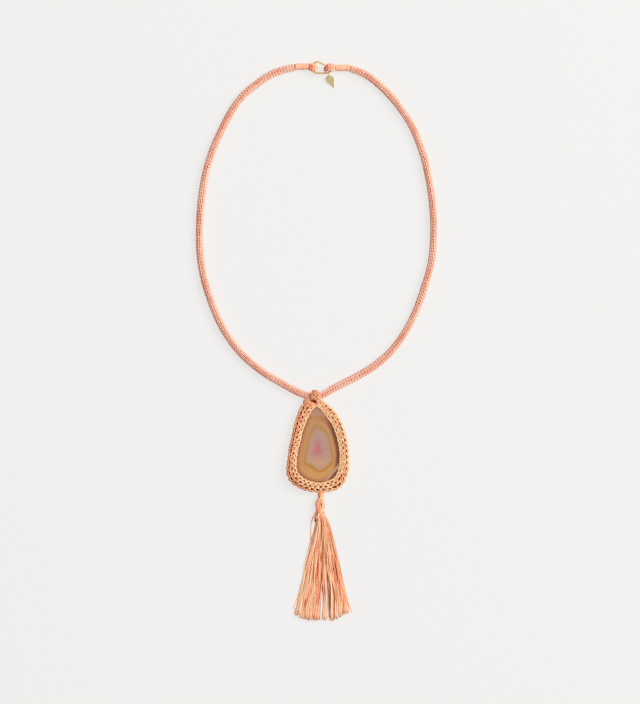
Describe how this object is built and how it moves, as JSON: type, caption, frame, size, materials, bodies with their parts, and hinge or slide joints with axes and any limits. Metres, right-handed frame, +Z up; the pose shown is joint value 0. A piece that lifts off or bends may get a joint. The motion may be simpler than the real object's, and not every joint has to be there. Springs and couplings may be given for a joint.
{
  "type": "crochet pendant necklace",
  "caption": "Necklace of knitted tube cord with a hinged ring clasp and drop tag, and a pear-shaped stone slice in a crochet bezel over a thread tassel.",
  "frame": {"origin": "middle of the hard and crocheted pieces as they lie, on the surface under them; the neck's hollow lies behind it towards +Y", "axes": "+Y from the tassel towards the clasp, +X to the right of the picture, +Z up from the surface"},
  "size_m": [0.1691, 0.391, 0.0088],
  "materials": {
    "yarn": "silky knitted and crocheted yarn in peach, coral and cream",
    "wrap_thread": "silky wound thread",
    "loop_yarn": "silky knitted yarn",
    "gold": "satin plated",
    "agate": "polished",
    "tassel_thread": "silky loose thread"
  },
  "bodies": {
    "necklace": {"necklace_cord": "yarn", "left_end_wrap": "wrap_thread", "right_end_wrap": "wrap_thread", "left_end_loop": "loop_yarn", "right_end_loop": "loop_yarn", "clasp_frame": "gold", "tag_ring": "gold", "tag": "gold", "bail": "yarn", "stone_bezel": "yarn", "agate_slice": "agate", "tassel_link": "loop_yarn", "tassel": "tassel_thread"},
    "gate": {"clasp_gate": "gold"}
  },
  "joints": [
    {"name": "gate_hinge", "type": "hinge", "parent": "necklace", "child": "gate", "pos_m": [-0.00123, 0.1869, 0.00325], "axis": [0, 0, -1], "range_deg": [0, 40]}
  ]
}
